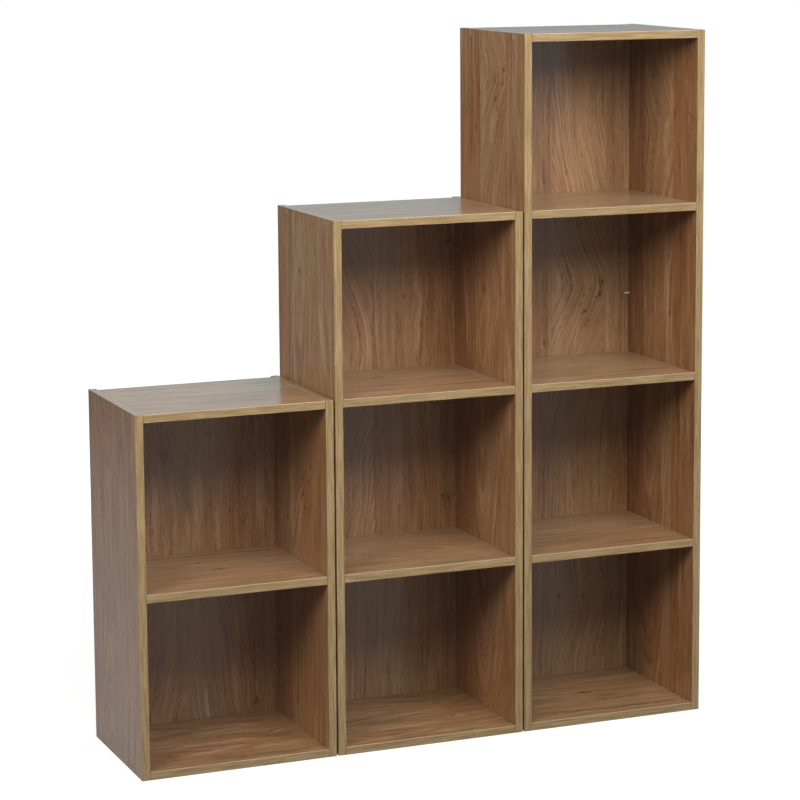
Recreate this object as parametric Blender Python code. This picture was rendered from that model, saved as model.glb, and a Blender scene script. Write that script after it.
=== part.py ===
"""A set of three open bookcases that stand side by side: a low, a middle and a tall one.

Each bookcase is a box of flat printed boards. Two full-height sides stand outside the top, the
bottom and the fixed shelves, and two screws go through the sides into each end of those boards.
A round cap, flush with the side, covers each screw head. A thin back slides in a groove near the
rear edge of each side, behind the boards.

Lengths are in metres and +Z is up. The fronts face -Y, and the origin lies on the floor, under the
middle of the set. Within one bookcase, x runs from the left outer face, y from the front edges
towards the rear, and z from the floor.
"""

import math

import bmesh
import bpy
from mathutils import Matrix, Vector

# Boards
COMPARTMENT_COUNTS = {"low": 2, "middle": 3, "tall": 4}
TOWER_WIDTH = 0.300
TOWER_GAP = 0.003
SIDE_DEPTH = 0.240
SIDE_THICKNESS = 0.012
BOARD_THICKNESS = 0.012
COMPARTMENT_HEIGHT = 0.250

# Back panel and its groove
BACK_THICKNESS = 0.003
BACK_SETBACK = 0.008
BACK_END_GAP = 0.001
GROOVE_DEPTH = 0.005

# Screws and their caps
SCREW_FROM_FRONT = 0.040
SCREW_FROM_REAR = 0.040
CAP_DIAMETER = 0.010
CAP_THICKNESS = 0.0015
CAP_RECESS = 0.0002
HEAD_DIAMETER = 0.008
HEAD_HEIGHT = 0.0022
SHANK_DIAMETER = 0.004
SHANK_LENGTH = 0.035
POINT_LENGTH = 0.004

# Steel pin in the right side of one bookcase, just in front of its back
PIN_TOWER = "tall"
PIN_SHELF_NUMBER = 2
PIN_ABOVE_SHELF = 0.095
PIN_DIAMETER = 0.0026
PIN_STAND_OUT = 0.009
PIN_SET_IN = 0.006
PIN_NOSE = 0.0008
PIN_WALL = 0.001

# Clearance between pieces that touch on the real object
FIT = 0.0003
# How far a cutter runs past the face that it opens
OVERCUT = 0.002
# Facets round a screw, a cap, a pin and their holes
ROUND_SIDES = 10
SMOOTH_ANGLE = math.radians(40.0)

# Base colour, roughness and metallic value of each kind of piece
FINISHES = {
    "side": ((0.230, 0.130, 0.075), 0.38, 0.0),
    "board": ((0.260, 0.145, 0.082), 0.32, 0.0),
    "back": ((0.250, 0.140, 0.080), 0.45, 0.0),
    "steel": ((0.560, 0.560, 0.570), 0.35, 1.0),
}

# Places that follow from the sizes above
PITCH = COMPARTMENT_HEIGHT + BOARD_THICKNESS
SET_WIDTH = len(COMPARTMENT_COUNTS) * TOWER_WIDTH + (len(COMPARTMENT_COUNTS) - 1) * TOWER_GAP
GROOVE_REAR = SIDE_DEPTH - BACK_SETBACK
BACK_FRONT = GROOVE_REAR - FIT - BACK_THICKNESS
GROOVE_FRONT = BACK_FRONT - FIT
BOARD_END = SIDE_THICKNESS + FIT
BOARD_LENGTH = TOWER_WIDTH - 2 * BOARD_END
SCREW_PLACES = {"front": SCREW_FROM_FRONT, "rear": SIDE_DEPTH - SCREW_FROM_REAR}
HEAD_TOP = CAP_RECESS + CAP_THICKNESS
HEAD_SEAT = HEAD_TOP + HEAD_HEIGHT
SCREW_END = HEAD_SEAT + SHANK_LENGTH
PIN_DEPTH = GROOVE_FRONT - PIN_WALL - FIT - PIN_DIAMETER / 2
FACING_LEFT = Matrix.Rotation(math.pi, 4, "Z")


def clear_scene():
    for thing in list(bpy.data.objects):
        bpy.data.objects.remove(thing, do_unlink=True)


def tower_height(tower):
    return COMPARTMENT_COUNTS[tower] * PITCH + BOARD_THICKNESS


def level_boards(tower):
    """Names of a bookcase's level boards, from the floor up, each with the height of its underside."""
    count = COMPARTMENT_COUNTS[tower]
    heights = {f"{tower}_bottom": 0.0}
    for level in range(1, count):
        heights[f"{tower}_shelf_{level}"] = level * PITCH
    heights[f"{tower}_top"] = count * PITCH
    return heights


def is_shelf(board):
    return "_shelf_" in board


def make_finish(name, kind):
    colour, roughness, metallic = FINISHES[kind]
    material = bpy.data.materials.new(f"{name}_finish")
    material.use_nodes = True
    material.diffuse_color = (*colour, 1.0)
    shader = material.node_tree.nodes["Principled BSDF"]
    shader.inputs["Base Color"].default_value = (*colour, 1.0)
    shader.inputs["Roughness"].default_value = roughness
    shader.inputs["Metallic"].default_value = metallic
    return material


def make_mesh(name, shape):
    bmesh.ops.recalc_face_normals(shape, faces=shape.faces)
    mesh = bpy.data.meshes.new(name)
    shape.to_mesh(mesh)
    shape.free()
    return mesh


def box_mesh(name, size):
    """A box with one corner at the origin."""
    size = Vector(size)
    shape = bmesh.new()
    where = Matrix.Translation(size / 2) @ Matrix.Diagonal((*size, 1.0))
    bmesh.ops.create_cube(shape, size=1.0, matrix=where)
    return make_mesh(name, shape)


def turned_mesh(name, outline):
    """A round solid about the X axis. The outline lists (x, radius) from one end to the other."""
    shape = bmesh.new()
    corners = [shape.verts.new((x, 0.0, radius)) for x, radius in outline]
    edges = [shape.edges.new(pair) for pair in zip(corners, corners[1:])]
    bmesh.ops.spin(
        shape,
        geom=corners + edges,
        axis=(1.0, 0.0, 0.0),
        cent=(0.0, 0.0, 0.0),
        angle=math.tau,
        steps=ROUND_SIDES,
        use_merge=True,
    )
    bmesh.ops.remove_doubles(shape, verts=shape.verts, dist=1e-6)
    mesh = make_mesh(name, shape)
    mesh.shade_smooth()
    mesh.set_sharp_from_angle(angle=SMOOTH_ANGLE)
    return mesh


def group_mesh(name, copies):
    """One mesh for several separate shapes, given as pairs of a mesh and where it goes."""
    shape = bmesh.new()
    for mesh, where in copies:
        first = len(shape.verts)
        shape.from_mesh(mesh)
        shape.verts.ensure_lookup_table()
        bmesh.ops.transform(shape, matrix=where, verts=shape.verts[first:])
    return make_mesh(name, shape)


def add_piece(name, mesh, kind, tower_frame, place, where=Matrix()):
    """Adds a named piece with its own finish, at a place measured within its bookcase."""
    piece = bpy.data.objects.new(name, mesh)
    bpy.context.scene.collection.objects.link(piece)
    piece.parent = tower_frame
    piece.matrix_local = Matrix.Translation(place) @ where
    if not mesh.materials:
        mesh.materials.append(None)
    piece.material_slots[0].link = "OBJECT"
    piece.material_slots[0].material = make_finish(name, kind)
    return piece


def shape_by(piece, label, operation, copies):
    """Cuts or joins shapes, placed in the piece's own frame, by a hidden guide that rides on it."""
    guide = bpy.data.objects.new(f"{piece.name}_{label}", group_mesh(label, copies))
    bpy.context.scene.collection.objects.link(guide)
    guide.parent = piece
    guide.hide_render = True
    guide.display_type = "WIRE"
    modifier = piece.modifiers.new(label, "BOOLEAN")
    modifier.operation = operation
    modifier.solver = "EXACT"
    modifier.object = guide


def screw_mesh():
    """A capped screw along +X, measured from the outer face of the side that it goes through."""
    outline = [
        (CAP_RECESS, 0.0),
        (CAP_RECESS, CAP_DIAMETER / 2),
        (HEAD_TOP, CAP_DIAMETER / 2),
        (HEAD_TOP, HEAD_DIAMETER / 2),
        (HEAD_SEAT, HEAD_DIAMETER / 2),
        (HEAD_SEAT, SHANK_DIAMETER / 2),
        (SCREW_END - POINT_LENGTH, SHANK_DIAMETER / 2),
        (SCREW_END, 0.0),
    ]
    return turned_mesh("capped_screw", outline)


def side_hole_mesh():
    """The stepped hole through a side: wide for the cap and the head, narrow for the shank."""
    wide = max(CAP_DIAMETER, HEAD_DIAMETER) / 2 + FIT
    narrow = SHANK_DIAMETER / 2 + FIT
    step = HEAD_SEAT + FIT
    far = SIDE_THICKNESS + OVERCUT
    outline = [(-OVERCUT, 0.0), (-OVERCUT, wide), (step, wide), (step, narrow), (far, narrow), (far, 0.0)]
    return turned_mesh("side_hole", outline)


def end_hole_mesh():
    """The blind hole that takes a screw's shank in the end of a level board."""
    radius = SHANK_DIAMETER / 2 + FIT
    deep = SCREW_END + FIT - BOARD_END
    outline = [(-OVERCUT, 0.0), (-OVERCUT, radius), (deep, radius), (deep, 0.0)]
    return turned_mesh("end_hole", outline)


def pin_mesh():
    """The steel pin along +X, from its rounded free end into the side."""
    radius = PIN_DIAMETER / 2
    far = PIN_STAND_OUT + PIN_SET_IN
    outline = [(0.0, 0.0), (0.0, radius - PIN_NOSE), (PIN_NOSE, radius), (far, radius), (far, 0.0)]
    return turned_mesh("pin", outline)


def pin_hole_mesh():
    radius = PIN_DIAMETER / 2 + FIT
    far = PIN_SET_IN + FIT
    outline = [(-OVERCUT, 0.0), (-OVERCUT, radius), (far, radius), (far, 0.0)]
    return turned_mesh("pin_hole", outline)


def pin_place():
    """Where the pin leaves the inner face of the right side."""
    height = PIN_SHELF_NUMBER * PITCH + BOARD_THICKNESS + PIN_ABOVE_SHELF
    return Vector((TOWER_WIDTH - SIDE_THICKNESS, PIN_DEPTH, height))


def screw_heights(tower):
    return [height + BOARD_THICKNESS / 2 for height in level_boards(tower).values()]


def make_side(tower, hand, tower_frame):
    """A full-height side, with its screw holes and the groove for the back."""
    height = tower_height(tower)
    is_left = hand == "left"
    outer = 0.0 if is_left else TOWER_WIDTH
    corner = Vector((0.0 if is_left else TOWER_WIDTH - SIDE_THICKNESS, 0.0, 0.0))
    name = f"{tower}_{hand}_side"
    mesh = box_mesh(name, (SIDE_THICKNESS, SIDE_DEPTH, height))
    side = add_piece(name, mesh, "side", tower_frame, corner)

    facing = Matrix() if is_left else FACING_LEFT
    hole = side_hole_mesh()
    cuts = []
    for depth in SCREW_PLACES.values():
        for level in screw_heights(tower):
            spot = Vector((outer, depth, level)) - corner
            cuts.append((hole, Matrix.Translation(spot) @ facing))

    groove_size = (GROOVE_DEPTH + OVERCUT, GROOVE_REAR - GROOVE_FRONT, height + 2 * OVERCUT)
    groove_left = SIDE_THICKNESS - GROOVE_DEPTH if is_left else -OVERCUT
    groove_corner = Vector((groove_left, GROOVE_FRONT, -OVERCUT))
    cuts.append((box_mesh("groove", groove_size), Matrix.Translation(groove_corner)))

    if tower == PIN_TOWER and not is_left:
        cuts.append((pin_hole_mesh(), Matrix.Translation(pin_place() - corner)))
    shape_by(side, "cuts", "DIFFERENCE", cuts)


def make_level_board(name, underside, tower_frame):
    """A top, a bottom or a shelf between the sides.

    The rear screws of a shelf are one solid with it, which keeps the set to under sixty pieces.
    """
    size = (BOARD_LENGTH, GROOVE_FRONT, BOARD_THICKNESS)
    corner = Vector((BOARD_END, 0.0, underside))
    board = add_piece(name, box_mesh(name, size), "board", tower_frame, corner)
    middle = BOARD_THICKNESS / 2
    hole = end_hole_mesh()
    screw = screw_mesh()
    ends = (
        (0.0, -BOARD_END, Matrix()),
        (BOARD_LENGTH, BOARD_LENGTH + BOARD_END, FACING_LEFT),
    )
    cuts = []
    joins = []
    for position, depth in SCREW_PLACES.items():
        for end, outer_face, facing in ends:
            if is_shelf(name) and position == "rear":
                joins.append((screw, Matrix.Translation((outer_face, depth, middle)) @ facing))
            else:
                cuts.append((hole, Matrix.Translation((end, depth, middle)) @ facing))
    shape_by(board, "screw_holes", "DIFFERENCE", cuts)
    if joins:
        shape_by(board, "rear_screws", "UNION", joins)


def make_back(tower, tower_frame):
    """The thin back, which slides in the grooves of both sides."""
    inset = SIDE_THICKNESS - GROOVE_DEPTH + FIT
    size = (TOWER_WIDTH - 2 * inset, BACK_THICKNESS, tower_height(tower) - 2 * BACK_END_GAP)
    name = f"{tower}_back"
    add_piece(name, box_mesh(name, size), "back", tower_frame, (inset, BACK_FRONT, BACK_END_GAP))


def make_screws(tower, screw, tower_frame):
    """The screws that are pieces of their own: all but the rear ones of the shelves."""
    for board, underside in level_boards(tower).items():
        for position, depth in SCREW_PLACES.items():
            if is_shelf(board) and position == "rear":
                continue
            for hand, outer, facing in (("left", 0.0, Matrix()), ("right", TOWER_WIDTH, FACING_LEFT)):
                name = f"{board}_{hand}_{position}_screw"
                spot = Vector((outer, depth, underside + BOARD_THICKNESS / 2))
                add_piece(name, screw, "steel", tower_frame, spot, facing)


def make_pin(tower_frame):
    start = pin_place() - Vector((PIN_STAND_OUT, 0.0, 0.0))
    add_piece(f"{PIN_TOWER}_back_pin", pin_mesh(), "steel", tower_frame, start)


def make_tower(tower, index, screw):
    tower_frame = bpy.data.objects.new(f"{tower}_tower", None)
    bpy.context.scene.collection.objects.link(tower_frame)
    left = index * (TOWER_WIDTH + TOWER_GAP) - SET_WIDTH / 2
    tower_frame.location = (left, -SIDE_DEPTH / 2, 0.0)
    for hand in ("left", "right"):
        make_side(tower, hand, tower_frame)
    for board, underside in level_boards(tower).items():
        make_level_board(board, underside, tower_frame)
    make_back(tower, tower_frame)
    make_screws(tower, screw, tower_frame)
    if tower == PIN_TOWER:
        make_pin(tower_frame)


def main():
    clear_scene()
    screw = screw_mesh()
    for index, tower in enumerate(COMPARTMENT_COUNTS):
        make_tower(tower, index, screw)
    bpy.context.view_layer.update()


if __name__ == "__main__":
    main()
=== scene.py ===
"""Dresses the packed set of bookcases: printed oak boards, pale bands, screw caps and a stage."""
import math
import random

import bmesh
import bpy
from bpy.props import FloatProperty, FloatVectorProperty, PointerProperty
from mathutils import Matrix, Vector


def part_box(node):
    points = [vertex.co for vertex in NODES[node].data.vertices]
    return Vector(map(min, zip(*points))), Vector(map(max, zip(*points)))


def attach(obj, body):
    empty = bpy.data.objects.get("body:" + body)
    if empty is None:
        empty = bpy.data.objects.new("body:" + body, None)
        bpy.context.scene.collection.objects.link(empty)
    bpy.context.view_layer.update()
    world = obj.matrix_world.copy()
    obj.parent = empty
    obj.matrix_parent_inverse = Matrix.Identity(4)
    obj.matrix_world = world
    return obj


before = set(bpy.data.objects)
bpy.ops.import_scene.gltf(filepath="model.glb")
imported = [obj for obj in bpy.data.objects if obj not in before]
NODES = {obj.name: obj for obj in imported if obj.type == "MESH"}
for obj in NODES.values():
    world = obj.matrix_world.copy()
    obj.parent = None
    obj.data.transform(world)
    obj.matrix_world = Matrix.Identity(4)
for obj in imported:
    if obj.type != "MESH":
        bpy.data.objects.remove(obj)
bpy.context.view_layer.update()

bl_info = {
    "name": "Bookcase set",
    "version": (1, 0, 0),
    "blender": (4, 5, 0),
    "location": "3D View > Sidebar > Bookcases",
    "description": "Finishes a set of three printed oak bookcases and sets them on a stage",
    "category": "Object",
}

TOWERS = ("low", "middle", "tall")
MM = 0.001

# Sizes that the packed boards have
SIDE_LOW, SIDE_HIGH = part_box("low_left_side")
SIDE_THICKNESS = SIDE_HIGH.x - SIDE_LOW.x
FRONT = SIDE_LOW.y
REAR = SIDE_HIGH.y
DEPTH = REAR - FRONT
TOWER_LEFT = {tower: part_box(f"{tower}_left_side")[0].x for tower in TOWERS}
TOWER_RIGHT = {tower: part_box(f"{tower}_right_side")[1].x for tower in TOWERS}
TOWER_WIDTH = TOWER_RIGHT["low"] - TOWER_LEFT["low"]
TOWER_STEP = TOWER_LEFT["middle"] - TOWER_LEFT["low"]
INNER_WIDTH = TOWER_WIDTH - 2 * SIDE_THICKNESS
LEVEL_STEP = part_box("low_shelf_1")[0].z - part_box("low_bottom")[0].z

# Where the screws go through the sides, and how deep a cap fills its hole
SCREW_PLACES = (("front", FRONT + 0.040), ("rear", REAR - 0.040))
CAP_DEPTH = 1.75 * MM

# How thick a cut edge's own finish is, and how wide the painted highlight on a side's top is
SKIN = 0.2 * MM
EDGE_LINE = 1.3 * MM

# The painted contact shadow at a side's foot, by height, and the painted highlight on a band's
# upper arris, by depth below the top: where each starts and ends to fade, and its strength there
FOOT_SHADOW_FADE = (0.5 * MM, 1.9 * MM, 0.55, 0.0)
ARRIS_HIGHLIGHT_FADE = (1.1 * MM, 0.5 * MM, 0.0, 0.75)


# Properties

def setting(make, **kind):
    """A kind of property, which then needs only its name, its description and its default."""
    def of_this_kind(name, description, default):
        return make(name=name, description=description, default=default, **kind)
    return of_this_kind


colour = setting(FloatVectorProperty, subtype="COLOR", size=3, min=0.0, max=1.0)
length = setting(FloatProperty, subtype="DISTANCE", unit="LENGTH", precision=4)
factor = setting(FloatProperty, subtype="FACTOR", min=0.0, max=1.0)
angle = setting(FloatProperty, subtype="ANGLE", unit="ROTATION")
power = setting(FloatProperty, subtype="POWER", unit="POWER", min=0.0)
point = setting(FloatVectorProperty, subtype="TRANSLATION", unit="LENGTH", size=3)
lens = setting(FloatProperty, subtype="DISTANCE_CAMERA", unit="CAMERA")
shift = setting(FloatVectorProperty, size=2)


class BookcasePrint(bpy.types.PropertyGroup):
    """The printed oak on the faces of the boards."""

    ground: colour("Ground", "Colour of the print between its lines", (0.262, 0.129, 0.054))
    level_ground: colour("Level ground", "The same on the level boards", (0.288, 0.162, 0.075))
    dark: colour("Dark lines", "Colour of the deepest lines and the knots", (0.085, 0.036, 0.015))
    pale: colour("Pale streaks", "Colour of the palest streaks", (0.420, 0.250, 0.132))
    ring_spacing: length("Ring spacing", "Distance between the lines of the figure", 0.0058)
    line_depth: factor("Line depth", "How dark the lines of the figure are", 0.40)
    fibre_depth: factor("Fibre depth", "How strong the fine streaks along the grain are", 0.34)
    roughness: factor("Roughness", "Roughness of the printed faces under their gloss", 0.50)
    gloss: factor("Gloss", "Weight of the clear gloss over the printed faces", 0.90)


class BookcaseBand(bpy.types.PropertyGroup):
    """The pale bands on the front edges."""

    ground: colour("Ground", "Colour of the front bands", (0.338, 0.240, 0.120))
    dark: colour("Streaks", "Colour of the fine streaks in the bands", (0.215, 0.133, 0.056))
    thickness: length("Thickness", "How far a band reaches back from the front", 0.0006)
    roughness: factor("Roughness", "Roughness of the bands", 0.42)
    arris: length("Arris", "Width of the softened edges of the boards", 0.0004)


class BookcaseCaps(bpy.types.PropertyGroup):
    """The round caps over the screws."""

    pale: colour("Pale caps", "Colour of the caps on the taller two", (0.325, 0.248, 0.160))
    brown: colour("Brown caps", "Colour of the caps on the low bookcase", (0.245, 0.135, 0.060))
    diameter: length("Diameter", "Diameter of a cap", 0.010)
    thickness: length("Thickness", "Thickness of a cap's shown layer", 0.00013)
    set_in: length("Set in", "How far a cap lies under the face of the side", 0.00005)
    roughness: factor("Roughness", "Roughness of the caps", 0.38)


class BookcaseStage(bpy.types.PropertyGroup):
    """The floor, the lamps and the camera."""

    floor_radius: length("Floor radius", "Radius of the round floor", 9.0)
    floor_shade: factor("Floor shade", "How pale the floor is under the lamps", 0.22)
    floor_glow: factor("Floor glow", "How white the camera sees the floor by the set", 0.84)
    room_light: factor("Room light", "Strength of the even light from all round", 0.065)
    front_left: power("Front left lamp", "Power of the lamp in front, to the left", 17.0)
    front_right: power("Front right lamp", "Power of the lamp in front, to the right", 30.0)
    left: power("Left lamp", "Power of the lamp to the left", 58.0)
    rear_right: power("Rear right lamp", "Power of the lamp behind, to the right", 50.0)
    rear_left: power("Rear left lamp", "Power of the lamp behind, to the left", 12.5)
    camera_place: point("Camera place", "Where the camera stands", (-1.5596, -3.8475, 1.2495))
    camera_yaw: angle("Camera yaw", "How far the camera turns to the right", 0.3999)
    camera_pitch: angle("Camera pitch", "How far the camera looks down", 0.1486)
    camera_roll: angle("Camera roll", "How far the camera leans", -0.0044)
    camera_lens: lens("Lens", "Focal length of the camera", 125.05)
    camera_shift: shift("Shift", "Shift of the picture, across and up", (-0.05, -0.10))


GROUPS = {
    "bookcase_print": BookcasePrint,
    "bookcase_band": BookcaseBand,
    "bookcase_caps": BookcaseCaps,
    "bookcase_stage": BookcaseStage,
}


# The printed figures, in millimetres. A plank is where it starts across the grain, its tone, where
# its heart line lies, how deep the heart is under the face, and how far its lines take part in the
# figure's arches. bend opens or closes the lines round the heart's height. A nose pushes them
# sideways: its height, its half length and how far. A knot is its height along the grain, its
# place across it and its size. A mark is a pale or a dark streak: its two ends, its width and its
# strength, which is below 0 where it is dark.

BURL = {
    "planks": [(-400, 0.47, -60, 20, 0.0), (140, 0.57, 60, 26, 1.0), (236, 0.50, 430, 24, 0.0)],
    "heart": 655, "bend": 0.0,
    "noses": [(655, 165, 62), (646, 46, 24), (120, 55, 15)],
    "knots": [
        (651, 229, 4.4), (631, 225, 4.2), (627, 217, 2.6), (631, 197, 3.0), (606, 198, 3.4),
        (557, 127, 3.2), (616, 190, 2.0), (640, 208, 2.0), (590, 205, 2.0), (139, 199, 4.0),
        (142, 154, 2.6),
    ],
    "marks": [
        (1020, 148, 800, 150, 6, 0.6), (760, 150, 640, 156, 8, 0.4), (640, 157, 530, 150, 10, 0.7),
        (1050, 215, 960, 222, 12, -0.3), (650, 205, 575, 206, 12, -0.45),
        (640, 240, 530, 240, 3, 0.6),
        (600, 186, 530, 182, 7, 0.6), (680, 129, 540, 132, 5, -0.5),
    ],
}

ARCHED = {
    "planks": [(-400, 0.53, 10, 30, 1.0), (138, 0.48, 420, 26, 0.0), (249, 0.38, 470, 20, 0.0)],
    "heart": 560, "bend": 0.0,
    "noses": [(560, 150, 62), (330, 60, 14)],
    "knots": [(647, 191, 3.8), (730, 265, 4.4), (326, 255, 3.0), (322, 264, 3.6), (327, 272, 2.8)],
    "marks": [
        (775, 205, 660, 212, 6, 0.8), (670, 212, 630, 217, 5, 1.3), (640, 216, 550, 210, 5, 1.1),
        (500, 205, 330, 214, 6, 0.6), (375, 180, 290, 176, 5, 0.7), (700, 150, 560, 165, 9, 0.3),
        (640, 128, 545, 130, 6, 0.6), (500, 128, 300, 132, 6, 0.5), (784, 139, 290, 140, 3, -0.5),
        (490, 158, 420, 160, 10, -0.45),
    ],
}

CROSSED = {
    "planks": [(-400, 0.49, 128, 9, 1.0), (237, 0.44, 430, 20, 0.0)],
    "heart": 300, "bend": -0.26,
    "noses": [],
    "knots": [(431, 104, 4.0), (426, 121, 2.8), (456, 170, 4.0), (459, 225, 3.6), (28, 240, 6.0)],
    "marks": [
        (395, 262, 335, 268, 4, -1.2), (400, 130, 330, 136, 9, -0.9),
        (470, 105, 415, 100, 12, -0.8), (400, 149, 275, 151, 5, 1.1),
        (345, 181, 262, 185, 5, 1.0), (240, 120, 60, 100, 8, 0.6), (60, 160, 5, 163, 4, 1.5),
        (200, 215, 20, 205, 8, 0.7), (230, 180, 120, 196, 6, -0.7),
        (440, 215, 290, 222, 6, -0.8), (500, 246, 300, 252, 5, 0.8), (430, 90, 280, 84, 5, 0.7),
    ],
}

SMUDGED = {
    "planks": [(-100, 0.47, -250, 20, 0.0), (52, 0.52, 95, 22, 1.0), (137, 0.50, 330, 30, 0.0)],
    "heart": 300, "bend": -0.5,
    "noses": [],
    "knots": [(350, 118, 3.0), (170, 152, 2.8)],
    "marks": [
        (440, 65, 380, 80, 10, -0.35), (300, 145, 250, 150, 12, -0.4),
        (500, 170, 420, 165, 11, -0.35), (430, 160, 60, 150, 9, 0.3), (330, 75, 60, 62, 8, 0.3),
    ],
}

SWIRLED = {
    "planks": [(-100, 0.46, -260, 24, 0.0), (62, 0.53, 96, 20, 1.0), (160, 0.50, 350, 24, 0.0)],
    "heart": 700, "bend": 0.24,
    "noses": [(700, 40, 12)],
    "knots": [(748, 45, 3.6), (746, 127, 3.2), (708, 95, 5.4)],
    "marks": [
        (663, 175, 558, 205, 7, 0.8), (720, 60, 600, 70, 8, 0.4), (690, 205, 640, 215, 7, 0.5),
        (730, 80, 690, 75, 8, 0.5), (700, 108, 670, 112, 6, 0.5), (780, 190, 720, 215, 6, -0.4),
    ],
}


def moved(figure, along, across, turned=False, paler=0.0):
    """The same print, laid further along or across a board, the other way up or paler."""
    sign = -1 if turned else 1
    planks = [
        (across + sign * start, tone + paler, across + sign * heart, deep, share)
        for start, tone, heart, deep, share in figure["planks"]
    ]
    if turned:
        starts = [plank[0] for plank in planks[1:]] + [-400]
        planks = [(start, *plank[1:]) for start, plank in zip(starts, planks)][::-1]
    return {
        "planks": planks,
        "heart": along + sign * figure["heart"],
        "bend": figure["bend"],
        "noses": [(along + sign * at, reach, sign * push) for at, reach, push in figure["noses"]],
        "knots": [
            (along + sign * at, across + sign * side, size) for at, side, size in figure["knots"]
        ],
        "marks": [
            (along + sign * a, across + sign * b, along + sign * c, across + sign * d, *look)
            for a, b, c, d, *look in figure["marks"]
        ],
    }


def marked(figure, marks):
    """The same print with more marks on it."""
    return {**figure, "marks": figure["marks"] + marks}


TURNED = {
    "planks": [(-400, 0.36, 330, 22, 0.0), (64, 0.48, 96, 24, 1.0), (163, 0.38, 420, 26, 0.0)],
    "heart": 880, "bend": 0.11,
    "noses": [(880, 120, 44), (905, 40, 14)],
    "knots": [
        (930, 167, 3.0), (932, 214, 3.2), (928, 224, 2.6), (885, 61, 3.6), (855, 58, 3.2),
        (835, 56, 3.4), (892, 92, 2.4), (884, 91, 2.0), (936, 118, 2.4), (399, 194, 3.4),
        (122, 72, 2.6),
    ],
    "marks": [
        (1034, 158, 930, 158, 6, 0.8), (925, 150, 895, 132, 7, 0.7), (896, 128, 820, 150, 8, 0.6),
        (1040, 56, 800, 58, 8, -0.5), (950, 112, 900, 104, 6, -0.6), (1000, 205, 940, 212, 7, 0.5),
        (780, 136, 560, 152, 7, 1.0), (730, 88, 545, 90, 6, 0.9), (790, 217, 545, 216, 4, 0.9),
        (770, 176, 545, 180, 12, -0.4), (700, 62, 545, 66, 5, -0.6), (500, 130, 300, 140, 8, 0.7),
        (480, 80, 290, 76, 6, 0.6), (230, 150, 30, 138, 8, 0.7), (240, 90, 40, 96, 6, -0.5),
    ],
}

BACK_FIGURES = {
    "low": CROSSED,
    "middle": ARCHED,
    "tall": marked(BURL, [(965, 180, 770, 185, 32, 0.40), (520, 140, 280, 150, 60, -0.40)]),
}
OUTER_FIGURES = {
    "low": moved(SMUDGED, 0, 0, paler=-0.03),
    "middle": moved(SWIRLED, 0, 0, paler=0.06),
    "tall": moved(BURL, 353, -64, paler=0.01),
}
INNER_FIGURES = {
    "low": marked(
        moved(BURL, -227, -59, paler=-0.03),
        [(450, 84, 300, 92, 7, 0.7), (220, 100, 30, 92, 7, 0.6)],
    ),
    "middle": marked(
        moved(SWIRLED, -40, 30, paler=-0.06),
        [(720, 44, 545, 66, 6, 0.9), (490, 120, 300, 108, 7, 0.6)],
    ),
    "tall": moved(TURNED, 0, 0, paler=-0.03),
}

WAVED = {
    "planks": [(-400, 0.41, 60, 9, 1.0), (104, 0.44, 178, 9, 1.0)],
    "heart": 236, "bend": -0.5,
    "noses": [(225, 40, 12)],
    "knots": [(228, 118, 3.0)],
    "marks": [
        (230, 74, 108, 92, 6, 1.0), (226, 96, 150, 104, 5, 0.8), (206, 138, 30, 149, 6, 1.1),
        (182, 166, 66, 190, 7, 1.3), (268, 180, 168, 186, 7, 1.1), (120, 76, 30, 96, 6, -0.7),
        (200, 172, 96, 174, 5, -0.7), (250, 120, 226, 124, 5, 0.9), (150, 212, 20, 216, 6, -0.6),
    ],
}

SPECKED = {
    "planks": [(-400, 0.49, 150, 22, 1.0), (168, 0.47, 330, 26, 0.0)],
    "heart": 150, "bend": -0.2,
    "noses": [],
    "knots": [
        (143, 121, 5.4), (172, 122, 2.8), (226, 124, 3.0), (160, 167, 3.6), (90, 129, 3.0),
        (238, 130, 2.4),
    ],
    "marks": [
        (250, 66, 120, 70, 6, 0.6), (280, 218, 10, 210, 4, -1.1), (280, 224, 10, 220, 4, 0.9),
        (162, 122, 126, 120, 4, -0.9), (190, 106, 100, 112, 6, 0.5), (240, 150, 150, 154, 6, -0.5),
        (110, 176, 30, 182, 7, 0.6),
    ],
}

STREAKED = {
    "planks": [(-400, 0.50, 90, 30, 1.0), (150, 0.48, 300, 26, 0.0)],
    "heart": 120, "bend": 0.0,
    "noses": [(170, 60, 10)],
    "knots": [],
    "marks": [
        (250, 60, 156, 64, 5, 0.9), (168, 104, 110, 108, 6, 0.9), (230, 146, 120, 150, 6, 0.7),
        (160, 200, 40, 206, 8, 0.6), (262, 186, 190, 178, 7, -0.5),
    ],
}

LEVEL_FIGURES = {
    "low_bottom": WAVED,
    "low_shelf_1": moved(SPECKED, 290, 250, turned=True),
    "middle_bottom": moved(WAVED, -20, 36),
    "middle_shelf_2": STREAKED,
    "tall_bottom": SPECKED,
    "tall_shelf_2": STREAKED,
}


def free_figure(seed, width, height):
    """A print for a face that doesn't show: part of another board's, picked by a seed."""
    pick = random.Random(seed)
    figure = pick.choice((BURL, ARCHED, CROSSED, SMUDGED, SWIRLED))
    along = pick.uniform(0.2, 0.8) * height - figure["heart"]
    across = pick.uniform(-0.35, 0.25) * width
    if pick.random() < 0.5:
        return moved(figure, height + along + figure["heart"], width - across, turned=True)
    return moved(figure, along, across)


# Shader nodes

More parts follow.
